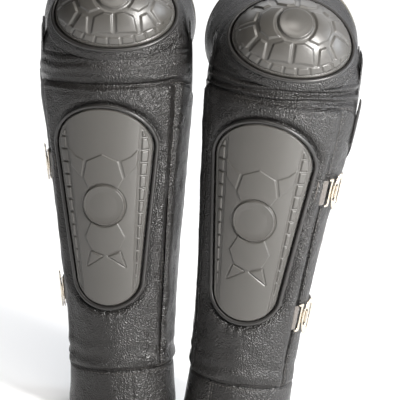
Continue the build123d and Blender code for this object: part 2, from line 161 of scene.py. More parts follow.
def noise(x, y, z, seed=0):
    """Smooth noise from -1 to 1 on a unit lattice."""
    cell = [np.floor(v).astype(np.int64) for v in (x, y, z)]
    part = [v - c for v, c in zip((x, y, z), cell)]
    part = [t * t * (3 - 2 * t) for t in part]
    total = 0.0
    for corner in range(8):
        bits = [(corner >> axis) & 1 for axis in range(3)]
        key = seed * 7919
        weight = 1.0
        for axis, prime in enumerate((73856093, 19349663, 83492791)):
            key = key ^ ((cell[axis] + bits[axis]) * prime)
            weight = weight * (part[axis] if bits[axis] else 1 - part[axis])
        key = (key ^ (key >> 13)) * 1274126177 & 0x7FFFFFFF
        total = total + weight * ((key % 65536) / 32767.5 - 1)
    return total


def layered(x, y, z, seed=0, layers=3):
    """Noise with finer and finer detail."""
    return sum(
        noise(x * 2**n, y * 2**n, z * 2**n, seed + n) / 2**n for n in range(layers)
    )


# ---- surfaces ----

def leg(angle, z, growth):
    """Points of the leg surface grown by a distance."""
    turn = np.radians(angle)
    x = (curve(z, LEG_Z, LEG_HALF_WIDTH) + growth) * np.sin(turn)
    y = curve(z, LEG_Z, LEG_MIDDLE) - (curve(z, LEG_Z, LEG_HALF_DEPTH) + growth) * np.cos(turn)
    return np.stack([x, y, z + 0 * x], -1)


def leg_angle_at_depth(y, z, growth):
    """Angle, on the outer side, at which the leg surface reaches a depth."""
    share = (curve(z, LEG_Z, LEG_MIDDLE) - y) / (curve(z, LEG_Z, LEG_HALF_DEPTH) + growth)
    return np.degrees(np.arccos(np.clip(share, -1, 1)))


def shin_top(angle, growth=SKIN):
    """Height of the shin's top edge at an angle: level in front, falling behind."""
    z = np.full(np.shape(angle), SHIN_TOP)
    for _ in range(6):
        z = SHIN_TOP - TOP_SLOPE * np.maximum(0, leg(angle, z, growth)[..., 1])
    return z


def knee_seam(angle):
    """Height of the seam where the knee's leather is sewn on, higher in front."""
    rise = step(np.cos(np.radians(angle)), -0.1, 0.5)
    return shin_top(angle) + (KNEE_SEAM - SHIN_TOP) * rise


def plate_angle(x, z, growth):
    """Angle round the leg of a point that seen from the front lies at x."""
    return np.degrees(np.arcsin(np.clip(x / (curve(z, LEG_Z, LEG_HALF_WIDTH) + growth), -1, 1)))


def thigh(angle, y, growth):
    """Points of the thigh surface; the angle runs from its top to the outer side."""
    turn = np.radians(angle)
    x = (curve(y, THIGH_Y, THIGH_HALF_WIDTH) + growth) * np.sin(turn)
    z = KNEE_Z + (curve(y, THIGH_Y, THIGH_HALF_HEIGHT) + growth) * np.cos(turn)
    return np.stack([x, y + 0 * x, z], -1)


def thigh_edge(depth, height, growth):
    """Angle of the thigh sleeve's side edge, at a height from the thigh's axis."""
    radius = curve(depth, THIGH_Y, THIGH_HALF_HEIGHT) + growth
    return np.degrees(np.arccos(np.clip(height / radius, -1, 1)))


def knee_local(across, along, out):
    """Points from the knee cup's own directions: across, up its face, and out of it."""
    tilt = math.radians(KNEE_TILT)
    y = -math.cos(tilt) * out + math.sin(tilt) * along
    z = KNEE_Z + math.sin(tilt) * out + math.cos(tilt) * along
    return np.stack([across, y, z], -1)


def knee_ball(across, along, growth):
    """Points of the knee's leather, seen along the way the cup faces."""
    squeeze = np.sqrt(np.clip(1 - (across / (KNEE_HALF + growth)) ** 2, 0.0, 1))
    radius = (KNEE_R + growth) * squeeze
    out = np.sqrt(np.clip(radius**2 - along**2, 0, None))
    return knee_local(across, along, out)


# ---- meshes ----

class Guard:
    """One guard of the pair: its name, and where its own frame stands."""

    def __init__(self, name, side):
        joints = {joint["name"]: joint for joint in frame["joints"]}
        flex = joints[f"{name}_knee_flex"]
        buckle = joints[f"{name}_upper_buckle_swing"]
        self.name = name
        self.side = side
        self.up = side * np.array(buckle["axis"])
        self.right = np.cross((0.0, 1.0, 0.0), self.up)
        self.twist = math.asin(flex["axis"][1])
        self.lift = KNEE_LIFT[name] / 1000
        self.foot = np.array(flex["pos_m"]) - self.up * (KNEE_Z / 1000 + self.lift)

    def place(self, points, knee=0.0):
        """Local millimetres to the frame's metres. Knee and thigh are lifted and turned."""
        x, y, z = np.moveaxis(np.asarray(points, float) / 1000, -1, 0)
        knee = np.broadcast_to(knee, x.shape)
        x, z = self.side * x, z + self.lift * knee
        turn = self.twist * knee
        x, y = x * np.cos(turn) - y * np.sin(turn), x * np.sin(turn) + y * np.cos(turn)
        behind = np.array([0.0, 1.0, 0.0])
        return (
            self.foot + x[..., None] * self.right + y[..., None] * behind + z[..., None] * self.up
        )


def add_mesh(guard, name, points, faces, material, knee=0.0):
    """New mesh object from local points, with its faces turned outwards for the left guard."""
    placed = guard.place(points, knee).reshape(-1, 3)
    faces = [list(face) for face in faces]
    if guard.side < 0:
        faces = turned(faces)
    mesh = bpy.data.meshes.new(f"{guard.name}_{name}")
    mesh.from_pydata(placed.tolist(), [], faces)
    mesh.validate()
    mesh.shade_smooth()
    mesh.materials.append(material)
    piece = bpy.data.objects.new(mesh.name, mesh)
    bpy.context.collection.objects.link(piece)
    return piece


def dress(guard, piece, body, slot, *nodes):
    """Say what a piece replaces and what it moves with. The slot, what it is made of, is not used."""
    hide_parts(*(f"{guard.name}_{node}" for node in nodes))
    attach(piece, f"{guard.name}_{body}")


def turned(faces):
    """The same faces, facing the other way."""
    return [list(face)[::-1] for face in faces]


def grid_faces(rows, columns, first=0):
    """Quads of a grid of points."""
    index = first + np.arange(rows * columns).reshape(rows, columns)
    return np.stack(
        [index[:-1, :-1], index[:-1, 1:], index[1:, 1:], index[1:, :-1]], -1
    ).reshape(-1, 4)


def slab(outer, inner):
    """Points and faces of a closed sheet. The inner grid may have fewer rows, not columns."""
    rows, columns = outer.shape[:2]
    back = inner.shape[0]
    count = rows * columns
    points = np.concatenate([outer.reshape(-1, 3), inner.reshape(-1, 3)])
    front_index = np.arange(count).reshape(rows, columns)
    back_index = count + np.arange(back * columns).reshape(back, columns)
    faces = grid_faces(rows, columns).tolist()
    faces += grid_faces(back, columns, count)[:, ::-1].tolist()
    for end in (0, -1):
        a, b = front_index[end], back_index[end]
        strip = np.stack([a[:-1], b[:-1], b[1:], a[1:]], -1)
        faces += (strip if end == 0 else strip[:, ::-1]).tolist()
        side = [*front_index[:, end], *back_index[::-1, end]]
        faces.append(side if end == 0 else side[::-1])
    return points, faces


def ring_faces(rows, columns, first=0):
    """Quads of a grid whose last column joins its first."""
    index = first + np.arange(rows * columns).reshape(rows, columns)
    index = np.hstack([index, index[:, :1]])
    return np.stack(
        [index[:-1, :-1], index[:-1, 1:], index[1:, 1:], index[1:, :-1]], -1
    ).reshape(-1, 4)


def round_shell(outer, inner):
    """Points and faces of a closed round shell. Rows run from the middle to the rim."""
    rows, columns = outer.shape[:2]
    back = inner.shape[0]
    count = rows * columns
    points = np.concatenate([outer.reshape(-1, 3), inner.reshape(-1, 3)])
    faces = turned(ring_faces(rows, columns)) + ring_faces(back, columns, count).tolist()
    rim = np.arange(columns) + (rows - 1) * columns
    under = np.arange(columns) + count + (back - 1) * columns
    quads = np.stack([rim, np.roll(rim, -1), np.roll(under, -1), under], -1)
    faces += turned(quads)
    faces.append(list(range(columns)))
    faces.append(list(range(count, count + columns))[::-1])
    return points, faces


def tube_faces(rows, sides, closed=False):
    """Quads of a tube made of rings of points."""
    index = np.arange(rows * sides).reshape(rows, sides)
    if closed:
        index = np.vstack([index, index[:1]])
    index = np.hstack([index, index[:, :1]])
    return np.stack(
        [index[:-1, :-1], index[1:, :-1], index[1:, 1:], index[:-1, 1:]], -1
    ).reshape(-1, 4)


def tube(path, radius, sides=10, closed=False):
    """Points and faces of a round tube along a path, a radius in millimetres."""
    path = np.asarray(path, float)
    ahead = np.roll(path, -1, 0) - np.roll(path, 1, 0)
    if not closed:
        ahead[0], ahead[-1] = path[1] - path[0], path[-1] - path[-2]
    ahead /= np.linalg.norm(ahead, axis=1, keepdims=True)
    centre = path.mean(0)
    away = path - centre
    side_way = np.cross(ahead, away)
    side_way /= np.linalg.norm(side_way, axis=1, keepdims=True)
    over = np.cross(side_way, ahead)
    turn = np.linspace(0, 2 * np.pi, sides, endpoint=False)
    ring = (
        path[:, None]
        + radius * np.cos(turn)[None, :, None] * side_way[:, None]
        + radius * np.sin(turn)[None, :, None] * over[:, None]
    )
    return ring.reshape(-1, 3), tube_faces(len(path), sides, closed)


def merged(pieces):
    """Several lists of points and faces as one."""
    points, faces, count = [], [], 0
    for piece_points, piece_faces in pieces:
        points.append(piece_points)
        faces += [[int(index) + count for index in face] for face in piece_faces]
        count += len(piece_points)
    return np.concatenate(points), faces


def stitches(path, normal, pitch=STITCH, length=3.1, radius=0.42, sunk=0.15):
    """A row of thread stitches along a path that lies on a surface with given normals."""
    path, normal = np.asarray(path, float), np.asarray(normal, float)
    gaps = np.linalg.norm(np.diff(path, axis=0), axis=1)
    along = np.concatenate([[0], np.cumsum(gaps)])
    count = max(1, int(along[-1] / pitch))
    where = (np.arange(count) + 0.5) * along[-1] / count

    def sample(values, at):
        return np.stack([np.interp(at, along, values[:, axis]) for axis in range(3)], -1)

    start, end = sample(path, where - length / 2), sample(path, where + length / 2)
    up = sample(normal, where)
    up /= np.linalg.norm(up, axis=1, keepdims=True)
    forward = end - start
    forward /= np.linalg.norm(forward, axis=1, keepdims=True)
    side_way = np.cross(forward, up)
    stations = ((0.0, 0.35, -0.35), (0.15, 0.9, 0.1), (0.5, 1.0, 0.3), (0.85, 0.9, 0.1), (1.0, 0.35, -0.35))
    turn = np.linspace(0, 2 * np.pi, 6, endpoint=False)
    rings = []
    for share, thick, height in stations:
        middle = start + (end - start) * share + up * (height * radius * 1.6 - sunk)
        ring = middle[:, None] + radius * thick * (
            np.cos(turn)[None, :, None] * side_way[:, None] + np.sin(turn)[None, :, None] * up[:, None]
        )
        rings.append(ring)
    faces = tube_faces(len(stations), 6)
    return merged([(block, faces) for block in np.stack(rings, 1).reshape(count, -1, 3)])


# ---- materials ----

def new_material(name, color, roughness, metallic=0.0):
    """Principled material with its constant numbers set on the shader."""
    material = bpy.data.materials.new(name)
    material.use_nodes = True
    shader = material.node_tree.nodes["Principled BSDF"]
    shader.inputs["Base Color"].default_value = (*color, 1)
    shader.inputs["Roughness"].default_value = roughness
    shader.inputs["Metallic"].default_value = metallic
    return material


def link(material, source, output, target, socket):
    """Join two nodes of a material."""
    material.node_tree.links.new(source.outputs[output], target.inputs[socket])


def texture(material, kind, scale, **settings):
    """Texture node in object space, with its scale per metre."""
    nodes = material.node_tree.nodes
    where = nodes.get("Texture Coordinate") or nodes.new("ShaderNodeTexCoord")
    node = nodes.new(kind)
    node.inputs["Scale"].default_value = scale
    for key, value in settings.items():
        if key in node.inputs:
            node.inputs[key].default_value = value
        else:
            setattr(node, key, value)
    link(material, where, "Object", node, "Vector")
    return node


def add_bump(material, node, output, strength, distance, below=None):
    """Bump node driven by a texture, on top of another bump."""
    bump_node = material.node_tree.nodes.new("ShaderNodeBump")
    bump_node.inputs["Strength"].default_value = strength
    bump_node.inputs["Distance"].default_value = distance
    link(material, node, output, bump_node, "Height")
    if below is not None:
        link(material, below, "Normal", bump_node, "Normal")
    link(material, bump_node, "Normal", material.node_tree.nodes["Principled BSDF"], "Normal")
    return bump_node


def vary(material, node, output, socket, dark, light):
    """Drive a colour or roughness between two values by a texture."""
    mix = material.node_tree.nodes.new("ShaderNodeValToRGB")
    mix.color_ramp.elements[0].position = 0.3
    mix.color_ramp.elements[1].position = 0.7
    mix.color_ramp.elements[0].color = (*dark, 1)
    mix.color_ramp.elements[1].color = (*light, 1)
    link(material, node, output, mix, "Fac")
    link(material, mix, "Color", material.node_tree.nodes["Principled BSDF"], socket)


def leather_material():
    """Black pebbled leather with a soft sheen."""
    material = new_material("leather", (0.011, 0.0102, 0.0098), 0.3)
    shader = material.node_tree.nodes["Principled BSDF"]
    shader.inputs["Specular IOR Level"].default_value = 0.45
    pebbles = texture(material, "ShaderNodeTexVoronoi", 620, feature="SMOOTH_F1", Smoothness=0.6)
    creases = texture(material, "ShaderNodeTexNoise", 260, Detail=5, Roughness=0.6)
    clouds = texture(material, "ShaderNodeTexNoise", 30, Detail=3)
    vary(material, clouds, "Fac", "Roughness", (0.24,) * 3, (0.38,) * 3)
    base = add_bump(material, creases, "Fac", 0.5, 0.0012)
    add_bump(material, pebbles, "Distance", 0.9, 0.0012, base)
    return material


def armour_material():
    """Satin moulded rubber, dark warm grey."""
    material = new_material("armour", (0.052, 0.049, 0.0445), 0.36)
    shader = material.node_tree.nodes["Principled BSDF"]
    shader.inputs["Specular IOR Level"].default_value = 0.6
    grain = texture(material, "ShaderNodeTexNoise", 1500, Detail=3)
    smears = texture(material, "ShaderNodeTexNoise", 22, Detail=4)
    vary(material, smears, "Fac", "Roughness", (0.3,) * 3, (0.44,) * 3)
    add_bump(material, grain, "Fac", 0.16, 0.0003)
    return material


def piping_material():
    """Smooth black leather over cord."""
    material = new_material("piping", (0.016, 0.015, 0.0145), 0.33)
    grain = texture(material, "ShaderNodeTexNoise", 900, Detail=4)
    add_bump(material, grain, "Fac", 0.25, 0.0004)
    return material


def thread_material():
    """Waxed black thread."""
    return new_material("thread", (0.055, 0.05, 0.046), 0.35)


def fabric_material(name, color, light, scale, depth, sheen=0.3):
    """Matt cloth with a fuzzy surface."""
    material = new_material(name, color, 0.9)
    shader = material.node_tree.nodes["Principled BSDF"]
    shader.inputs["Sheen Weight"].default_value = sheen
    shader.inputs["Sheen Roughness"].default_value = 0.5
    fuzz = texture(material, "ShaderNodeTexNoise", scale, Detail=6, Roughness=0.7)
    vary(material, fuzz, "Fac", "Base Color", color, light)
    add_bump(material, fuzz, "Fac", 0.8, depth)
    return material


def metal_material():
    """Pale champagne plating with fine scuffs."""
    material = new_material("buckle_metal", (0.62, 0.56, 0.47), 0.24, metallic=1.0)
    scuffs = texture(material, "ShaderNodeTexNoise", 350, Detail=4)
    vary(material, scuffs, "Fac", "Roughness", (0.16,) * 3, (0.34,) * 3)
    add_bump(material, scuffs, "Fac", 0.06, 0.0003)
    return material


LEATHER = leather_material()
ARMOUR = armour_material()
PIPING = piping_material()
THREAD = thread_material()
METAL = metal_material()
FLEECE = fabric_material("fleece", (0.012, 0.0095, 0.008), (0.04, 0.033, 0.028), 900, 0.0016)
LINING = fabric_material("lining", (0.02, 0.017, 0.013), (0.06, 0.052, 0.04), 700, 0.001)
BINDING = fabric_material("binding", (0.05, 0.046, 0.036), (0.12, 0.11, 0.085), 1200, 0.0005)
WEBBING = fabric_material("webbing", (0.035, 0.03, 0.026), (0.13, 0.113, 0.1), 1400, 0.0004)
ELASTIC = fabric_material("elastic", (0.008, 0.0075, 0.0075), (0.022, 0.02, 0.02), 1500, 0.0004, 0.1)
FOAM = fabric_material("foam", (0.05, 0.05, 0.05), (0.09, 0.09, 0.09), 800, 0.0004)
PILE = fabric_material("pile", (0.01, 0.01, 0.01), (0.03, 0.03, 0.03), 1600, 0.0008)
NODE_MATERIALS = {
    "leather": LEATHER, "armour": ARMOUR, "piping": PIPING, "lining": LINING, "foam": FOAM,
    "fleece": FLEECE, "binding": BINDING, "webbing": WEBBING, "elastic": ELASTIC,
    "fastener": PILE, "buckle_metal": METAL,
}


# ---- shin leather ----

def plate_half_width(z, grow=0.0):
    """Half width of the shin plate's outline at a height, grown by a distance."""
    wide, narrow = PLATE_WIDE + grow, PLATE_NARROW + grow
    share = np.clip((z - PLATE_NARROW_Z) / (PLATE_WIDE_Z - PLATE_NARROW_Z), 0, 1)
    up = np.clip((z - PLATE_WIDE_Z) / (PLATE_TOP_ARC + grow), 0, 1)
    down = np.clip((PLATE_NARROW_Z - z) / (PLATE_FOOT_ARC + grow), 0, 1)
    return (narrow + (wide - narrow) * share) * np.sqrt(1 - up**2) * np.sqrt(1 - down**2)


def plate_path(grow, growth, count=260):
    """Closed path round the plate's outline, and the outward normals along it."""
    turn = np.linspace(0, 2 * np.pi, count, endpoint=False)
    wide, narrow = PLATE_WIDE + grow, PLATE_NARROW + grow
    top, foot = PLATE_TOP_ARC + grow, PLATE_FOOT_ARC + grow
    upper = np.sin(turn) >= 0
    x = np.where(upper, wide, narrow) * np.cos(turn)
    z = np.where(upper, PLATE_WIDE_Z + top * np.sin(turn), PLATE_NARROW_Z + foot * np.sin(turn))
    flat = np.stack([x, z], -1)
    gaps = np.linalg.norm(np.roll(flat, -1, 0) - flat, axis=1)
    along = np.concatenate([[0], np.cumsum(gaps)])
    even = np.linspace(0, along[-1], count, endpoint=False)
    x, z = (np.interp(even, along, np.append(flat[:, i], flat[0, i])) for i in (0, 1))
    angle = plate_angle(x, z, growth)
    return leg(angle, z, growth), leg(angle, z, growth + 1) - leg(angle, z, growth)


def plate_distance(x, z):
    """Distance from the plate's outline, seen from the front: negative inside."""
    turn = np.linspace(0, 2 * np.pi, 240, endpoint=False)
    upper = np.sin(turn) >= 0
    edge_x = np.where(upper, PLATE_WIDE, PLATE_NARROW) * np.cos(turn)
    rise = np.where(upper, PLATE_TOP_ARC, PLATE_FOOT_ARC) * np.sin(turn)
    edge_z = np.where(upper, PLATE_WIDE_Z, PLATE_NARROW_Z) + rise
    share = np.linspace(0, 1, 120)
    side_x = np.outer((-1, 1), PLATE_NARROW + (PLATE_WIDE - PLATE_NARROW) * share).ravel()
    side_z = np.tile(PLATE_NARROW_Z + (PLATE_WIDE_Z - PLATE_NARROW_Z) * share, 2)
    edge_x, edge_z = np.concatenate([edge_x, side_x]), np.concatenate([edge_z, side_z])
    far = np.min(
        (x.ravel()[:, None] - edge_x) ** 2 + (z.ravel()[:, None] - edge_z) ** 2, axis=1
    ).reshape(x.shape) ** 0.5
    inside = (np.abs(x) < plate_half_width(z)) & (z > PLATE_NARROW_Z - PLATE_FOOT_ARC)
    inside &= z < PLATE_WIDE_Z + PLATE_TOP_ARC
    return np.where(inside, -far, far)


def creases(angle, z, seed):
    """Leather's soft dents and fine folds, as a growth."""
    x, y, _ = np.moveaxis(leg(angle, z, SKIN), -1, 0)
    dents = layered(x / 30, y / 30, z / 46, seed, 3) * 1.1
    fine = layered(x / 8, y / 8, z / 6.5, seed + 9, 2) * 0.2
    phase = z / 3.4 + 2.6 * noise(x / 28, y / 28, z / 30, seed + 4)
    ankle = bump(z, CUFF_TOP + 10, 22) * np.sin(phase) * 0.9
    return dents + fine + ankle


def front_growth(angle, z, seed):
    """Growth of the padded front panel round the armour plate."""
    point = leg(angle, z, SKIN)
    away = plate_distance(point[..., 0], z)
    top = knee_seam(angle)
    to_seam = SEAM - np.abs(angle)
    edge = step(top - z, 0, 7) * step(z - CUFF_TOP, 0, 6)
    cushion = 3.2 * step(away, 4, 14) * step(to_seam, 0, 8) + 1.5 * bump(to_seam, 9, 6)
    pinch = -1.8 * bump(away, 4.8, 2.6)
    pulls = np.sin(np.degrees(np.arctan2(z - 200, point[..., 0] * 3)) / 3.1) * bump(away, 12, 7) * 0.25
    phase = (top - z) / 1.9 + 3 * noise(point[..., 0] / 26, 0 * z, z / 40, seed)
    folds = bump(top - z, 6, 7) * np.sin(phase) * 0.55
    plain = creases(angle, z, seed) + folds + pulls
    grown = SKIN - 1.9 + (1.9 + cushion) * edge + pinch + plain * step(away, 3, 10) * edge
    return np.where(away < 1.0, SKIN - 0.7, grown)


def shin_front(guard):
    """Padded front panel between the two side seams."""
    rows, columns = int(290 / FINE), int(170 / FINE)
    rise = np.linspace(0, 1, rows)[:, None]
    angle = np.linspace(-SEAM, SEAM, columns)[None, :]
    z = CUFF_TOP + 0.4 + (knee_seam(angle) - CUFF_TOP - 0.4) * rise
    angle = angle + 0 * z
    outer = leg(angle, z, front_growth(angle, z, 11 if guard.side > 0 else 31))
    points, faces = slab(outer, leg(angle, z, 8.6))
    piece = add_mesh(guard, "shin_front_leather", points, faces, LEATHER)
    dress(guard, piece, "shin", "leather", "shin_front_panel")


def side_grid(inner, rows, columns):
    """Angles and heights of a side panel, which follows the sloping top and the opening."""
    across, rise = unit_grid(rows, columns)
    z = CUFF_TOP + 0.4 + (SHIN_TOP - CUFF_TOP) * rise + 0 * across
    for _ in range(8):
        if inner:
            angle = -(SEAM + 0.4) + (INNER_EDGE_ANGLE + SEAM + 0.4) * across + 0 * z
        else:
            edge = leg_angle_at_depth(np.interp(z, OPENING_Z, OPENING_Y), z, SKIN)
            angle = SEAM + 0.4 + (np.minimum(edge, OUTER_EDGE_LIMIT) - SEAM - 0.4) * across
        z = CUFF_TOP + 0.4 + (knee_seam(angle) - CUFF_TOP - 0.4) * rise
    return angle, z, across + 0 * z, rise + 0 * z


def side_panel(guard, inner):
    """Padded side panel, quilted between its seams."""
    angle, z, across, rise = side_grid(inner, int(250 / FINE), int((110 if inner else 44) / FINE))
    seed = 51 if inner else 71
    edge = faded(across, 0.07 if inner else 0.2) * faded(rise, 0.02)
    ridge = 1.0 * bump(across, 0.1, 0.06) if inner else 0
    grown = SKIN - 2.2 + (2.9 + ridge) * edge + creases(angle, z, seed + guard.side) * edge
    points, faces = slab(leg(angle, z, grown), leg(angle, z, PAD_INNER))
    if inner:
        faces = turned(faces)
    word = "inner" if inner else "outer"
    piece = add_mesh(guard, f"shin_{word}_leather", points, faces, LEATHER)
    dress(guard, piece, "shin", "leather", f"shin_{word}_panel")


def cuff(guard):
    """Ankle cuff below its seam."""
    rows, columns = int(60 / FINE), int(260 / FINE)
    z = np.linspace(HEM_TOP + 0.4, CUFF_TOP, rows)[:, None]
    angle = np.linspace(-HEM_ANGLE, HEM_ANGLE, columns)[None, :]
    z, angle = np.broadcast_arrays(z, angle)
    x, y, _ = np.moveaxis(leg(angle, z, SKIN), -1, 0)
    edge = step(z - HEM_TOP, 0, 4) * step(CUFF_TOP - z, 0, 5)
    seam = -1.2 * bump(angle, -24, 1.6)
    folds = layered(x / 30, y / 30, z / 34, 91 + guard.side, 3)
    grown = 8.2 + 1.3 * edge + (folds * 0.8 + seam) * edge
    points, faces = slab(leg(angle, z, grown), leg(angle, z, 0.0))
    piece = add_mesh(guard, "ankle_cuff_leather", points, faces, LEATHER)
    dress(guard, piece, "shin", "leather", "ankle_cuff")
    return piece


# ---- armour ----

def polygon_distance(x, z, corners):
    """Signed distance to a polygon, negative inside."""
    corners = np.asarray(corners, float)
    best = np.full(np.shape(x), 1e9)
    inside = np.zeros(np.shape(x), bool)
    for (ax, az), (bx, bz) in zip(corners, np.roll(corners, -1, 0)):
        share = ((x - ax) * (bx - ax) + (z - az) * (bz - az)) / ((bx - ax) ** 2 + (bz - az) ** 2)
        share = np.clip(share, 0, 1)
        best = np.minimum(best, np.hypot(x - ax - share * (bx - ax), z - az - share * (bz - az)))
        if az != bz:
            crosses = (az > z) != (bz > z)
            inside ^= crosses & (x < (bx - ax) * (z - az) / (bz - az) + ax)
    return np.where(inside, -best, best)


def raised(distance, height, bevel=1.2):
    """Height of a facet with bevelled sides, from the distance to its edge."""
    return height * step(-distance, -bevel / 2, bevel)


DISC_Z, DISC_R = 256.0, 23.5
UPPER_SEGMENT = [(15, 17), (22.5, 30), (18, 50), (0, 58.5), (-18, 50), (-22.5, 30), (-15, 17)]
LOWER_SEGMENT = [(14, -18), (22.5, -37), (15.5, -52.5), (0, -58), (-15.5, -52.5), (-22.5, -37), (-14, -18)]
SIDE_WEDGE = [(24.5, 31), (36.5, 43), (41.5, 66), (31.5, 55.5), (20.5, 50.5)]
FOOT_WEDGE = [(3.5, -59), (16.5, -54), (21.5, -71)]
BLOCK_PITCH = 14.4


def plate_relief(x, z):
    """Height of the shin plate's moulding above its field."""
    side = np.abs(x)
    up = z - DISC_Z
    line = 29.0 + (z - 150) * 0.072
    height = 1.2 * step(line - side, -0.5, 0.5)
    height -= 0.9 * bump(side, line - 1.2, 0.7) * step(z, 140, 146) * step(349 - z, 0, 6)
    row = (z - 145) / BLOCK_PITCH
    gap = np.abs(row - np.round(row)) * BLOCK_PITCH
    away = plate_distance(x, z)
    blocks = step(side - line, 0.9, 2.2) * step(-away, 4.2, 5.6) * step(gap, 0.5, 1.7)
    blocks = blocks * step(z, 143, 146) * step(352 - z, 0, 3)
    height = np.maximum(height, 1.6 * blocks)
    rim = 0.6 * step(-away, 3.6, 2.6)
    height = np.maximum(height, rim)
    field = step(line - side, 0, 3)
    upper = polygon_distance(x, up, UPPER_SEGMENT)
    lower = polygon_distance(x, up, LOWER_SEGMENT)
    wedge = polygon_distance(side, up, SIDE_WEDGE)
    foot = polygon_distance(side, up, FOOT_WEDGE)
    disc = np.hypot(x, up) - DISC_R
    emblem = np.zeros(np.shape(x))
    for shape, lift in ((upper, 1.0), (lower, 1.0), (wedge, 0.7), (foot, 0.7)):
        emblem = np.maximum(emblem, raised(shape, lift, 0.8))
        emblem = emblem - 0.9 * bump(shape, 0.7, 0.6)
    groove = -1.1 * bump(disc, 0.9, 0.7)
    emblem = np.where(disc < 1.6, 0, emblem)
    dished = 1.5 * step(-disc, -0.2, 1.4) - 0.5 * step(-disc, 3.0, 9.0) + 0.5 * bump(disc, -1.8, 0.9)
    return height + (emblem + groove + dished) * field


def shin_plate(guard):
    """Moulded shin plate: block columns, a disc and facets above and below it."""
    rows, columns = int(420 / FINE), int(200 / FINE)
    low, high = PLATE_NARROW_Z - PLATE_FOOT_ARC, PLATE_WIDE_Z + PLATE_TOP_ARC
    even = np.linspace(0, 1, rows)
    z = low + (high - low) * (0.75 * even + 0.25 * (0.5 - 0.5 * np.cos(np.pi * even)))
    z = np.clip(z, low + 0.02, high - 0.02)[None, :]
    share = np.linspace(-1, 1, columns)[:, None]
    x = plate_half_width(z) * share
    z = z + 0 * x
    away = plate_distance(x, z)
    grown = 10.6 + 2.0 * step(-away, 0, 1.6) + plate_relief(x, z) * step(-away, 0.6, 2.0)
    outer = leg(plate_angle(x, z, 13.0), z, grown)
    rear_x = plate_half_width(z[:9]) * np.linspace(-1, 1, 9)[:, None]
    inner = leg(plate_angle(rear_x, z[:9], 13.0), z[:9], 10.4)
    points, faces = slab(outer, inner)
    piece = add_mesh(guard, "shin_armour", points, turned(faces), ARMOUR)
    dress(guard, piece, "shin", "armour", "shin_plate")


def shin_piping(guard):
    """Corded welt round the shin plate."""
    path, _ = plate_path(2.7, 12.0)
    points, faces = tube(path, 2.5, 12, closed=True)
    piece = add_mesh(guard, "shin_armour_welt", points, faces, PIPING)
    dress(guard, piece, "shin", "piping", "shin_plate_piping")
    return piece


# ---- knee ----

PETALS = [
    [(1.9, -23.5), (11, -21.5), (21.5, -24.5), (25.5, -38), (1.9, -40.3)],
    [(28.5, -23), (35.5, -18.5), (47, -28), (29.5, -37.2)],
    [(39.5, -15.5), (43.5, -2), (59.5, -2), (62, -11), (50, -25.3)],
]
SIDE_PETAL = [(16, 18), (27, 19.5), (37, 11), (40, 0), (37, -11), (27, -19.5), (16, -18)]
CUP_BLOCKS = 26


def cup_relief(across, along):
    """Height of the knee cup's moulding."""
    side, rise = np.abs(across), np.abs(along)
    disc = np.hypot(across, along) - 19.0
    height = np.zeros(np.shape(across))
    for corners in PETALS:
        height = np.maximum(height, raised(polygon_distance(side, -rise, corners), 1.7, 1.8))
    side_petal = polygon_distance(side, along, SIDE_PETAL)
    side_petal = np.maximum(side_petal, 22.5 - np.hypot(across, along))
    height = np.maximum(height, raised(side_petal, 1.7, 1.8))
    reach = np.sqrt((across / CUP_RIM[0]) ** 2 + (along / CUP_RIM[1]) ** 2)
    turn = np.arctan2(along / CUP_RIM[1], across / CUP_RIM[0])
    gap = np.abs((turn / (2 * np.pi) * CUP_BLOCKS + 0.5) % 1 - 0.5) * 14.5
    blocks = step(reach, 0.855, 0.875) * step(0.955 - reach, 0, 0.02) * step(gap, 0.7, 2.0)
    height = np.maximum(height, 1.3 * blocks)
    dished = 2.0 * step(-disc, -0.4, 1.4) - 0.6 * step(-disc, 1.5, 8)
    ring = -0.9 * bump(disc, 1.9, 1.5)
    return np.maximum(height, dished) + ring


def normals_of(grid):
    """Unit normals of a grid of points."""
    down = np.gradient(grid, axis=0)
    right = np.gradient(grid, axis=1)
    normal = np.cross(right, down)
    return normal / np.maximum(np.linalg.norm(normal, axis=-1, keepdims=True), 1e-9)


def dome_out(across, along, thinner=0.0):
    """Height of the cup's crown along the way it faces."""
    wide, tall, high = (size - thinner for size in CUP_DOME)
    inside = 1 - (across / wide) ** 2 - (along / tall) ** 2
    return CUP_CENTRE + high * np.sqrt(np.clip(inside, 0, None))


def knee_cup(guard):
    """Moulded knee cup: petals round a disc, a band of blocks and a sewn flange."""
    rings, spokes = int(170 / FINE), int(420 / FINE)
    reach = np.linspace(0.0005, 1.0, rings)[:, None] ** 0.8
    turn = np.linspace(0, 2 * np.pi, spokes, endpoint=False)[None, :]
    tilt = math.radians(KNEE_TILT)
    facing = np.array([0, -math.cos(tilt), math.sin(tilt)])

    def shell_out(across, along, thinner, growth):
        ball = (knee_ball(across, along, growth) - np.array([0, 0, KNEE_Z])) @ facing
        return np.maximum(dome_out(across, along, thinner), ball)

    across, along = CUP_RIM[0] * reach * np.cos(turn), CUP_RIM[1] * reach * np.sin(turn)
    base = knee_local(across, along, shell_out(across, along, 0.0, 2.4))
    wrapped = np.concatenate([base[:, -1:], base, base[:, :1]], axis=1)
    normal = -normals_of(wrapped)[:, 1:-1]
    normal[0] = facing
    relief = cup_relief(across, along) * step(0.985 - reach, 0, 0.03) - 1.2 * step(reach, 0.98, 1.0)
    outer = base + normal * relief[..., None]
    few = np.linspace(0.0005, 1.0, 10)[:, None]
    across, along = CUP_RIM[0] * few * np.cos(turn), CUP_RIM[1] * few * np.sin(turn)
    points, faces = round_shell(outer, knee_local(across, along, shell_out(across, along, 4.0, 0.4)))
    piece = add_mesh(guard, "knee_armour", points, faces, ARMOUR, knee=1.0)
    dress(guard, piece, "knee", "armour", "knee_cup")


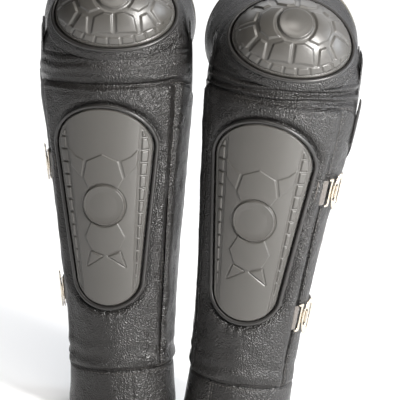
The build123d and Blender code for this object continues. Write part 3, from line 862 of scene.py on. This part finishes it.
def oval(grow, growth, count=240):
    """Closed path round the cup's rim, and its normals."""
    turn = np.linspace(0, 2 * np.pi, count, endpoint=False)
    across, along = (CUP_RIM[0] + grow) * np.cos(turn), (CUP_RIM[1] + grow) * np.sin(turn)
    path = knee_ball(across, along, growth)
    return path, knee_ball(across, along, growth + 1) - path


def knee_piping(guard):
    """Corded welt round the knee cup."""
    path, _ = oval(2.6, 2.2)
    points, faces = tube(path, 2.4, 12, closed=True)
    piece = add_mesh(guard, "knee_armour_welt", points, faces, PIPING, knee=1.0)
    dress(guard, piece, "knee", "piping", "knee_cup_piping")


def knee_patch(guard):
    """Padded leather patch that carries the cup."""
    rings, spokes = int(70 / FINE), int(300 / FINE)
    reach = np.linspace(0.4, 1.0, rings)[:, None]
    turn = np.linspace(0, 2 * np.pi, spokes, endpoint=False)[None, :]
    across, along = 76 * reach * np.cos(turn), 58 * reach * np.sin(turn) - 1.0
    rim = step(1 - reach, 0, 0.07)
    folds = layered(across / 16, along / 16, 0 * across, 5, 2)
    outer = knee_ball(across, along, -1.4 + 1.2 * rim + folds * 0.35 * rim)
    few = np.linspace(0.4, 1.0, 5)[:, None]
    inner = knee_ball(76 * few * np.cos(turn), 58 * few * np.sin(turn) - 1.0, -2.4)
    points, faces = round_shell(outer, inner)
    piece = add_mesh(guard, "knee_patch", points, faces, LEATHER, knee=1.0)
    dress(guard, piece, "knee", "leather", "knee_panel")


def sleeve_folds(side, turn, share):
    """Height of the creases between the shin's seam and the cup."""
    facing = step(np.cos(turn), -0.05, 0.5)
    if side > 0:
        phase = share * 19 - 1.6 * turn + 1.8 * noise(turn * 2.0, 0 * turn, 0 * turn + share * 3, 121)
        return 1.7 * np.sin(phase) * facing * step(share, 0.03, 0.2)
    roll = 3.4 * bump(share + 0 * turn, 0.52, 0.27) - 2.6 * bump(share + 0.05 * turn, 0.12, 0.07)
    ripple = 0.5 * np.sin(share * 26 + 2.4 * noise(turn * 2.6, 0 * turn, 0 * turn + share * 3, 119))
    return (roll + ripple) * facing


def knee_sleeve(guard):
    """Soft leather that runs from the shin's top edge round the knee to the thigh."""
    lower, swept, upper = int(60 / FINE), int(80 / FINE), int(12 / FINE)
    angle = np.linspace(-97, 97, int(210 / FINE))[None, :]
    turn = np.radians(angle)
    rows, knee = [], []
    for share in np.linspace(0, 1, lower, endpoint=False):
        z = (knee_seam(angle) - 5) * (1 - share) + (KNEE_Z - 2) * share
        rows.append(leg(angle, z, 9.3 - 1.6 * share + sleeve_folds(guard.side, turn, share)))
        knee.append(0 * angle + float(step(share, 0.05, 0.95)))
    start = rows[-1][0]
    for share in np.linspace(0, 1, swept):
        swing = share * np.pi / 2
        front = np.clip(-start[:, 1], 0, None)
        height = 1.2 * layered(turn[0] * 3, turn[0] * 0 + share * 4, turn[0] * 0, 122 + guard.side, 2)
        radius = front * (1 - 0.05 * share) + height * np.clip(front / 40, 0, 1)
        behind = np.clip(start[:, 1], 0, None)
        y = -radius * math.cos(swing) + behind
        z = KNEE_Z + radius * math.sin(swing)
        rows.append(np.stack([start[:, 0] * (1 - 0.08 * share), y, z], -1)[None])
        knee.append(0 * angle + 1.0)
    for share in np.linspace(0.1, 1, upper):
        last = rows[-1].copy()
        last[..., 1] += 14.0 / upper
        rows.append(last)
        knee.append(0 * angle + 1.0)
    outer = np.concatenate(rows)
    weight = np.concatenate(knee).ravel()
    inward = np.array([0, 10.0, KNEE_Z - 10]) - outer
    inward[..., 0] *= 0.6
    inward /= np.linalg.norm(inward, axis=-1, keepdims=True)
    points, faces = slab(outer, outer + 2.0 * inward)
    weight = np.concatenate([weight, weight])
    piece = add_mesh(guard, "knee_sleeve", points, faces, LEATHER, knee=weight)
    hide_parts(f"{guard.name}_fold_panel")
    start, end = guard.place([(0, -40, KNEE_Z - 40), (0, 40, KNEE_Z + 40)], knee=1.0)
    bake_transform(piece)


def knee_gusset(guard):
    """Flat padded gussets on both sides of the knee."""
    rings, spokes = int(26 / FINE), int(120 / FINE)
    reach = np.linspace(0.01, 1.0, rings)[:, None]
    turn = np.linspace(0, 2 * np.pi, spokes, endpoint=False)[None, :]
    square = (np.abs(np.cos(turn)) ** 4 + np.abs(np.sin(turn)) ** 4) ** -0.25
    y, z = 25 * square * reach * np.cos(turn), KNEE_Z + 28 * square * reach * np.sin(turn)
    pieces = []
    for side in (-1, 1):
        crown = 0.5 + 1.7 * step(1 - reach, 0, 0.25) + 0.4 * noise(y / 12, z / 12, 0 * y, 77 + side)
        outer = np.stack([side * (81.2 + crown), y, z], -1)
        flat = np.stack([side * (81.2 + 0 * y), y, z], -1)[[0, -1]]
        points, faces = round_shell(outer, flat)
        pieces.append((points, faces if side < 0 else turned(faces)))
    points, faces = merged(pieces)
    piece = add_mesh(guard, "knee_gusset_leather", points, faces, LEATHER, knee=1.0)
    dress(guard, piece, "knee", "leather", "knee_gussets")


def thigh_leather(guard):
    """Padded leather half pipe over the thigh."""
    rows, columns = int(120 / FINE), int(240 / FINE)
    depth = np.linspace(5, THIGH_END, rows)[:, None]
    angle = np.linspace(-1, 1, columns)[None, :]
    half = thigh_edge(depth, THIGH_EDGE, SKIN)
    tab = thigh_edge(depth, THIGH_TAB_EDGE, SKIN)
    inner_half = half + (tab - half) * step(depth, 108, 114)
    angle = np.where(angle < 0, angle * inner_half, angle * half)
    depth = depth + 0 * angle
    x, _, z = np.moveaxis(thigh(angle, depth, SKIN), -1, 0)
    edge = step(depth - 5, 0, 6) * step(THIGH_END - depth, 0, 5)
    folds = layered(x / 36, depth / 30, z / 36, 140 + guard.side, 3) * 1.3
    ribs = 0.9 * np.sin(depth / 6 + 2 * noise(x / 40, depth / 60, z / 40, 7)) * bump(depth, 8, 22)
    grown = SKIN - 2 + (2.2 + folds * 0.6 + ribs) * edge
    points, faces = slab(thigh(angle, depth, grown), thigh(angle, depth, PAD_INNER))
    piece = add_mesh(guard, "thigh_leather", points, turned(faces), LEATHER, knee=1.0)
    dress(guard, piece, "thigh", "leather", "thigh_panel")
    return piece


# ---- lining and foam ----

def shin_pile(guard):
    """Plush lining of the shin sleeve."""
    rows, columns = int(200 / FINE), int(200 / FINE)
    across, rise = unit_grid(rows, columns)
    bottom = CUFF_TOP + 2.7
    z = bottom + (SHIN_TOP - bottom) * rise + 0 * across
    for _ in range(8):
        edge = leg_angle_at_depth(np.interp(z, OPENING_Z, OPENING_Y), z, LINING_FACE)
        angle = -149.6 + (np.minimum(edge, 114.6) + 149.6) * across
        z = bottom + (shin_top(angle, 0) - 0.4 - bottom) * rise
    x, y, _ = np.moveaxis(leg(angle, z, 0), -1, 0)
    edge = faded(across, 0.015) * faded(rise, 0.01)
    pile = layered(x / 3, y / 3, z / 3, 230 + guard.side, 2) * 0.4
    few = np.linspace(0, rows - 1, 30).astype(int)
    plush = leg(angle, z, 1.2 - (0.7 + pile) * edge)
    points, faces = slab(plush, leg(angle[few], z[few], LINING_FACE))
    piece = add_mesh(guard, "shin_pile", points, turned(faces), LINING)
    dress(guard, piece, "shin", "lining", "shin_lining")


def shin_pad(guard):
    """Foam pad behind the shin armour, with soft edges."""
    low, high = CUFF_TOP + 30.3, SHIN_TOP - 4.3
    across = np.linspace(-FOAM_ANGLE, FOAM_ANGLE, int(90 / FINE))[None, :]
    z = np.linspace(low, high, int(140 / FINE))[:, None]
    angle, z = np.broadcast_arrays(across, z)
    edge = step(FOAM_ANGLE - np.abs(angle), 0, 2.5) * step(z - low, 0, 3) * step(high - z, 0, 3)
    points, faces = slab(leg(angle, z, 7.0 + 1.2 * edge), leg(angle, z, 3.4))
    piece = add_mesh(guard, "shin_pad", points, faces, FOAM)
    dress(guard, piece, "shin", "foam", "shin_foam")


def knee_pad(guard):
    """Foam pad behind the cup, with a soft edge."""
    reach = np.linspace(0.02, 1.0, int(40 / FINE))[:, None]
    turn = np.linspace(0, 2 * np.pi, int(160 / FINE), endpoint=False)[None, :]
    across, along = 61.7 * reach * np.cos(turn), 47.7 * reach * np.sin(turn)
    rim = step(1 - reach, 0, 0.08)
    outer = knee_ball(across, along, -3.1 + 0.7 * rim)
    inner = knee_ball(across, along, -5.2 - 0.8 * rim)
    points, faces = round_shell(outer, inner)
    piece = add_mesh(guard, "knee_pad", points, faces, FOAM, knee=1.0)
    dress(guard, piece, "knee", "foam", "knee_foam")


def thigh_pile(guard):
    """Plush lining of the thigh."""
    rows, columns = int(110 / FINE), int(200 / FINE)
    depth = np.linspace(7.2, 149.4, rows)[:, None]
    across = np.linspace(-1, 1, columns)[None, :]
    half = thigh_edge(depth, THIGH_EDGE, LINING_FACE) - 0.5
    tab = thigh_edge(depth, THIGH_TAB_EDGE, LINING_FACE) - 0.5
    inner_half = half + (tab - half) * step(depth, 109, 115)
    angle = np.where(across < 0, across * inner_half, across * half)
    depth = depth + 0 * angle
    x, _, z = np.moveaxis(thigh(angle, depth, 0), -1, 0)
    edge = step(1 - np.abs(across), 0, 0.03) * step(depth - 7.2, 0, 3) * step(149.4 - depth, 0, 3)
    pile = layered(x / 3, depth / 3, z / 3, 250 + guard.side, 2) * 0.4
    few = np.linspace(0, rows - 1, 24).astype(int)
    plush = thigh(angle, depth, 1.2 - (0.7 + pile) * edge)
    points, faces = slab(plush, thigh(angle[few], depth[few], LINING_FACE))
    piece = add_mesh(guard, "thigh_pile", points, faces, LINING, knee=1.0)
    dress(guard, piece, "thigh", "lining", "thigh_lining")


# ---- flap and straps ----

def calf_flap(guard):
    """Fleece panel behind the calf."""
    rows, columns = int(170 / FINE), int(150 / FINE)
    across, rise = unit_grid(rows, columns)
    z = FLAP_Z[0] + (FLAP_Z[1] - FLAP_Z[0]) * rise + 0 * across
    for _ in range(8):
        edge = leg_angle_at_depth(np.interp(z, OPENING_Z, OPENING_Y) + 3.2, z, 8.5)
        angle = edge + (HINGE_ANGLE - edge) * across
        top = FLAP_Z[1] - TOP_SLOPE * np.maximum(0, leg(angle, z, 8.5)[..., 1] + 10)
        z = FLAP_Z[0] + (top - FLAP_Z[0]) * rise
    x, y, _ = np.moveaxis(leg(angle, z, 8), -1, 0)
    edge = faded(across, 0.03) * faded(rise, 0.02)
    pile = layered(x / 3.2, y / 3.2, z / 3.2, 200 + guard.side, 2) * 0.45
    folds = layered(x / 40, y / 40, z / 70, 210 + guard.side, 2) * 0.8
    grown = 6.8 + (1.2 + pile + folds) * edge
    points, faces = slab(leg(angle, z, grown), leg(angle, z, 3.5))
    piece = add_mesh(guard, "calf_fleece", points, faces, FLEECE)
    dress(guard, piece, "calf_flap", "fleece", "calf_flap", "calf_flap_binding")


def leg_band(angles, middle, half, layer, ribs=0.0, columns=90):
    """Strap round the leg: its height at an angle is given by a function."""
    angle = np.linspace(*angles, int(columns / FINE) + 2)[None, :]
    offset = np.linspace(-half, half, int(half * 4 / FINE) + 2)[:, None]
    z = np.full(angle.shape, KNEE_Z)
    for _ in range(8):
        z = middle(angle, z)
    edge = step(half - np.abs(offset), 0, 1.5)
    grown = layer[1] - 0.5 + 0.5 * edge + ribs * np.sin(offset * 2.4)
    angle, z = angle + 0 * offset, z + offset
    return slab(leg(angle, z, grown), leg(angle[[0, -1]], z[[0, -1]], layer[0]))


def webbing(guard, name, node, body, places, angles):
    """Woven webbing strips at the heights of one buckle or both."""
    pieces = []
    for place in places:
        def level(angle, z, at=BUCKLE_Z[place]):
            return 0 * angle + at

        pieces.append(leg_band(angles, level, WEBBING_HALF, WEBBING_LAYER, 0.1, 50))
    points, faces = merged(pieces)
    piece = add_mesh(guard, name, points, turned(faces), WEBBING)
    dress(guard, piece, body, "webbing", node)


def knee_strap(guard):
    """Ribbed elastic strap that slants down behind the knee."""
    def middle(angle, z):
        return KNEE_Z - 40 - TOP_SLOPE * (leg(angle, z, 12)[..., 1] + 10)

    points, faces = leg_band((88, 208.5), middle, 26.0, BAND_LAYER, 0.16, 150)
    piece = add_mesh(guard, "knee_elastic", points, turned(faces), ELASTIC)
    dress(guard, piece, "knee_strap", "elastic", "knee_strap")


def thigh_strap(guard):
    """Ribbed elastic strap under the thigh."""
    angle = np.linspace(84, 221, int(150 / FINE))[None, :]
    depth = np.linspace(118, 143, int(90 / FINE))[:, None]
    angle, depth = np.broadcast_arrays(angle, depth)
    woven = thigh(angle, depth, 12.9 + 0.16 * np.sin(depth * 2.4))
    points, faces = slab(woven, thigh(angle[[0, -1]], depth[[0, -1]], BAND_LAYER[0]))
    piece = add_mesh(guard, "thigh_elastic", points, faces, ELASTIC, knee=1.0)
    dress(guard, piece, "thigh_strap", "elastic", "thigh_strap")


def softened(corners, rounds=2):
    """Outline with its corners cut, again and again."""
    corners = np.asarray(corners, float)
    for _ in range(rounds):
        following = np.roll(corners, -1, 0)
        step_length = np.linalg.norm(following - corners, axis=1, keepdims=True)
        cut = np.minimum(0.28, 1.1 / step_length)
        corners = np.stack(
            [corners + (following - corners) * cut, following + (corners - following) * cut], 1
        ).reshape(-1, 2)
    return corners


def pressed(outlines, low, high, bevel=0.45):
    """Flat plate with holes and rounded edges, as points (x, y, out) and faces."""
    curve_data = bpy.data.curves.new("outline", "CURVE")
    curve_data.dimensions = "2D"
    curve_data.fill_mode = "BOTH"
    curve_data.extrude = (high - low) / 2 - bevel
    curve_data.bevel_depth = bevel
    curve_data.bevel_resolution = 2
    curve_data.offset = -bevel
    for outline in outlines:
        corners = softened(outline)
        spline = curve_data.splines.new("POLY")
        spline.points.add(len(corners) - 1)
        spline.use_cyclic_u = True
        for point, (x, y) in zip(spline.points, corners):
            point.co = (x, y, 0, 1)
    holder = bpy.data.objects.new("outline", curve_data)
    mesh = bpy.data.meshes.new_from_object(holder)
    points = np.array([vertex.co[:] for vertex in mesh.vertices])
    faces = [list(polygon.vertices) for polygon in mesh.polygons]
    points[:, 2] += (low + high) / 2
    bpy.data.objects.remove(holder)
    bpy.data.meshes.remove(mesh)
    return points, faces


HOOK = [
    (-9, -16.5), (0, -16.5), (0, -7), (7.5, -7), (7.5, 7), (0, 7), (0, 16.5), (-9, 16.5),
    (-9, 13.8), (-4, 13.8), (-4, -13.8), (-9, -13.8),
]
RING = [
    (17.5, -19), (17.5, 19), (12, 22), (7.5, 20), (3.2, 14), (0.9, 7), (0.3, 0), (0.9, -7),
    (3.2, -14), (7.5, -20), (12, -22),
]
TONGUE_SLOT = [(3.3, -9.5), (3.3, 9.5), (8.9, 9.5), (8.9, -9.5)]
WEBBING_SLOT = [(11.4, -15), (11.4, 15), (14.6, 15), (14.6, -15)]
TONGUE_TIP = [(6.3, -7), (7.5, -7), (7.5, 7), (6.3, 7)]


def on_sleeve(points, height):
    """Points of a buckle's plane (back, up, out) as local points of the guard."""
    here, ahead, above = (
        leg(np.array(angle), np.array(z), 12.3)
        for angle, z in ((68.0, height), (72.0, height), (68.0, height + 12))
    )
    back = (ahead - here) / np.linalg.norm(ahead - here)
    out = np.cross(back, (above - here) / np.linalg.norm(above - here))
    out /= np.linalg.norm(out)
    up = np.cross(out, back)
    return here + points[:, :1] * back + points[:, 1:2] * up + points[:, 2:] * out


def hooks(guard):
    """Pressed metal hook plates on the outer seam."""
    pieces = []
    for height in BUCKLE_Z.values():
        for outline, high, bevel in ((HOOK, 1.3, 0.45), (TONGUE_TIP, 2.9, 0.3)):
            points, faces = pressed([outline], 0.0, high, bevel)
            pieces.append((on_sleeve(points, height), faces))
    points, faces = merged(pieces)
    piece = add_mesh(guard, "hook_metal", points, faces, METAL)
    dress(guard, piece, "shin", "buckle_metal", "buckle_hooks")


def ring(guard, which):
    """Pressed D ring on the flap's webbing."""
    points, faces = pressed([RING, TONGUE_SLOT, WEBBING_SLOT], 1.5, 2.9)
    points = on_sleeve(points, BUCKLE_Z[which])
    piece = add_mesh(guard, f"{which}_ring_metal", points, faces, METAL)
    dress(guard, piece, f"{which}_buckle", "buckle_metal", f"{which}_ring")


def ankle_hem(guard):
    """Binding rolled over the cuff's lower edge, flat where it stands."""
    angle = np.linspace(-HEM_ANGLE, HEM_ANGLE, int(240 / FINE))[None, :]
    share = np.linspace(0, 1, 9)[:, None]
    edge = leg(angle, np.zeros(angle.shape), 10.0)
    ground = -(guard.foot[2] * 1000 + guard.side * edge[..., 0] * guard.right[2]) / guard.up[2]
    z = ground + 0.05 + (HEM_TOP - ground - 0.05) * share
    angle = angle + 0 * z
    outer = leg(angle, z, rolled(share))
    points, faces = slab(outer, leg(angle[[0, -1]], z[[0, -1]], -0.5))
    piece = add_mesh(guard, "hem_tape", points, faces, BINDING)
    dress(guard, piece, "shin", "binding", "ankle_hem")


def thigh_hem(guard):
    """Binding rolled over the thigh sleeve's far edge."""
    share = np.linspace(0, 1, 9)[:, None]
    depth = 150.2 + 4.6 * share
    half = thigh_edge(depth, THIGH_EDGE, SKIN)
    angle = half * np.linspace(-1, 1, int(240 / FINE))[None, :]
    depth = depth + 0 * angle
    outer = thigh(angle, depth, rolled(share))
    points, faces = slab(outer, thigh(angle[[0, -1]], depth[[0, -1]], -0.4))
    piece = add_mesh(guard, "thigh_tape", points, turned(faces), BINDING, knee=1.0)
    dress(guard, piece, "thigh", "binding", "thigh_hem")


def seam_rows(guard):
    """Every stitched seam of the shin, the cuff and the plate."""
    rows = []
    z = np.linspace(CUFF_TOP + 3, KNEE_SEAM - 8, 120)
    for angle in (-SEAM - 1.8, -SEAM + 1.8, SEAM - 1.8, SEAM + 1.8):
        path = leg(np.full(120, angle), z, SKIN - 0.2)
        rows.append(stitches(path, leg(np.full(120, angle), z, SKIN + 1) - path))
    angle = np.linspace(-110, 84, 160)
    for height, growth in ((CUFF_TOP + 2.6, SKIN - 0.5), (CUFF_TOP - 2.8, 9.3)):
        level = np.full(160, height)
        path = leg(angle, level, growth)
        rows.append(stitches(path, leg(angle, level, growth + 1) - path))
    angle = np.linspace(-75, 78, 160)
    level = knee_seam(angle) - 2.6
    path = leg(angle, level, SKIN - 0.6)
    rows.append(stitches(path, leg(angle, level, SKIN + 1) - path))
    path, normal = plate_path(-2.0, 13.1)
    rows.append(stitches(path, normal, pitch=3.4, length=2.4))
    z = np.linspace(HEM_TOP + 3, CUFF_TOP - 3, 40)
    for angle in (-25.6, -22.4):
        path = leg(np.full(40, angle), z, 9.2)
        rows.append(stitches(path, leg(np.full(40, angle), z, 10) - path))
    return merged(rows)


def shin_thread(guard):
    """Thread of the shin's seams."""
    points, faces = seam_rows(guard)
    piece = add_mesh(guard, "shin_thread", points, faces, THREAD)
    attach(piece, f"{guard.name}_shin")


def knee_thread(guard):
    """Thread round the knee cup's flange."""
    path, normal = oval(-1.6, 2.6)
    points, faces = stitches(path, normal, pitch=3.4, length=2.4)
    piece = add_mesh(guard, "knee_thread", points, faces, THREAD, knee=1.0)
    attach(piece, f"{guard.name}_knee")
    return piece


# ---- the pair ----

for guard in (Guard("left", -1), Guard("right", 1)):
    shin_front(guard)
    side_panel(guard, inner=True)
    side_panel(guard, inner=False)
    cuff(guard)
    shin_plate(guard)
    shin_piping(guard)
    knee_cup(guard)
    knee_piping(guard)
    knee_patch(guard)
    knee_sleeve(guard)
    knee_gusset(guard)
    thigh_leather(guard)
    shin_pile(guard)
    shin_pad(guard)
    knee_pad(guard)
    thigh_pile(guard)
    calf_flap(guard)
    webbing(guard, "tab_webbing", "buckle_tabs", "shin", BUCKLE_Z, TAB_ANGLES)
    for place, angles in STRAP_ANGLES.items():
        webbing(guard, f"{place}_webbing", f"{place}_strap", f"{place}_buckle", [place], angles)
    hooks(guard)
    for place in BUCKLE_Z:
        ring(guard, place)
    knee_strap(guard)
    thigh_strap(guard)
    ankle_hem(guard)
    thigh_hem(guard)
    shin_thread(guard)
    knee_thread(guard)

slots = {entry["node"]: entry["material_slot"] for entry in frame["record"]["subparts"]}
for node_name, node in frame["nodes"].items():
    node.data.materials.clear()
    node.data.materials.append(NODE_MATERIALS[slots[node_name]])


# ---- stage ----

def stage(low, high):
    """Pale floor and soft light, strongest from the upper right."""
    world = bpy.data.worlds.new("studio")
    bpy.context.scene.world = world
    world.use_nodes = True
    nodes, links = world.node_tree.nodes, world.node_tree.links
    background = nodes["Background"]
    where = nodes.new("ShaderNodeTexCoord")
    facing = nodes.new("ShaderNodeVectorMath")
    facing.operation = "DOT_PRODUCT"
    facing.inputs[1].default_value = (0.62, 0.55, 0.56)
    ramp = nodes.new("ShaderNodeValToRGB")
    ramp.color_ramp.elements[0].position = 0.0
    ramp.color_ramp.elements[0].color = (0.045, 0.045, 0.045, 1)
    ramp.color_ramp.elements[1].position = 0.85
    ramp.color_ramp.elements[1].color = (0.95, 0.96, 1.0, 1)
    links.new(where.outputs["Generated"], facing.inputs[0])
    links.new(facing.outputs["Value"], ramp.inputs["Fac"])
    links.new(ramp.outputs["Color"], background.inputs["Color"])
    background.inputs["Strength"].default_value = 0.55
    mesh = bpy.data.meshes.new("floor")
    mesh.from_pydata([(-6, -6, 0), (6, -6, 0), (6, 6, 0), (-6, 6, 0)], [], [(0, 1, 2, 3)])
    floor = bpy.data.objects.new("floor", mesh)
    bpy.context.collection.objects.link(floor)
    pale = new_material("floor", (0.9, 0.9, 0.9), 0.9)
    mesh.materials.append(pale)
    lamps = (
        ("key", (1.75, -1.35, 0.9), 0.5, 1.2, 120, (1.0, 0.985, 0.96)),
        ("front", (0.4, -1.5, 2.5), 0.8, 0.8, 24, (1.0, 0.96, 0.9)),
        ("window", (1.9, 0.2, 0.9), 0.6, 1.2, 22, (0.86, 0.92, 1.0)),
        ("backdrop", (0.0, 2.3, 2.6), 6.0, 3.0, 130, (1.0, 1.0, 1.0)),
    )
    aim = Vector(((low[0] + high[0]) / 2, (low[1] + high[1]) / 2, 0.6 * high[2]))
    for name, place, wide, tall, power, color in lamps:
        light = bpy.data.lights.new(name, "AREA")
        light.shape = "RECTANGLE"
        light.size, light.size_y = wide, tall
        light.energy = power
        light.color = color
        lamp = bpy.data.objects.new(name, light)
        lamp.location = place
        if name != "backdrop":
            lamp.rotation_euler = (aim - Vector(place)).to_track_quat("-Z", "Y").to_euler()
        bpy.context.collection.objects.link(lamp)
    bpy.context.scene.view_settings.view_transform = "Standard"


def camera():
    """Long lens from the front, a little to the right guard's outer side and above."""
    azimuth, elevation, roll = math.radians(11), math.radians(13), math.radians(3.5)
    distance, width = 3.0, 0.456
    aim = Vector((0.021, -0.02, 0.25))
    away = Vector((
        math.sin(azimuth) * math.cos(elevation),
        -math.cos(azimuth) * math.cos(elevation),
        math.sin(elevation),
    ))
    data = bpy.data.cameras.new("camera")
    data.sensor_width = 36
    data.lens = data.sensor_width * distance / width
    view = bpy.data.objects.new("camera", data)
    view.location = aim + away * distance
    level = (-away).to_track_quat("-Z", "Y")
    view.rotation_euler = (level @ Quaternion((0, 0, 1), roll)).to_euler()
    bpy.context.collection.objects.link(view)
    bpy.context.scene.camera = view


stage(*cad_bounds)
camera()
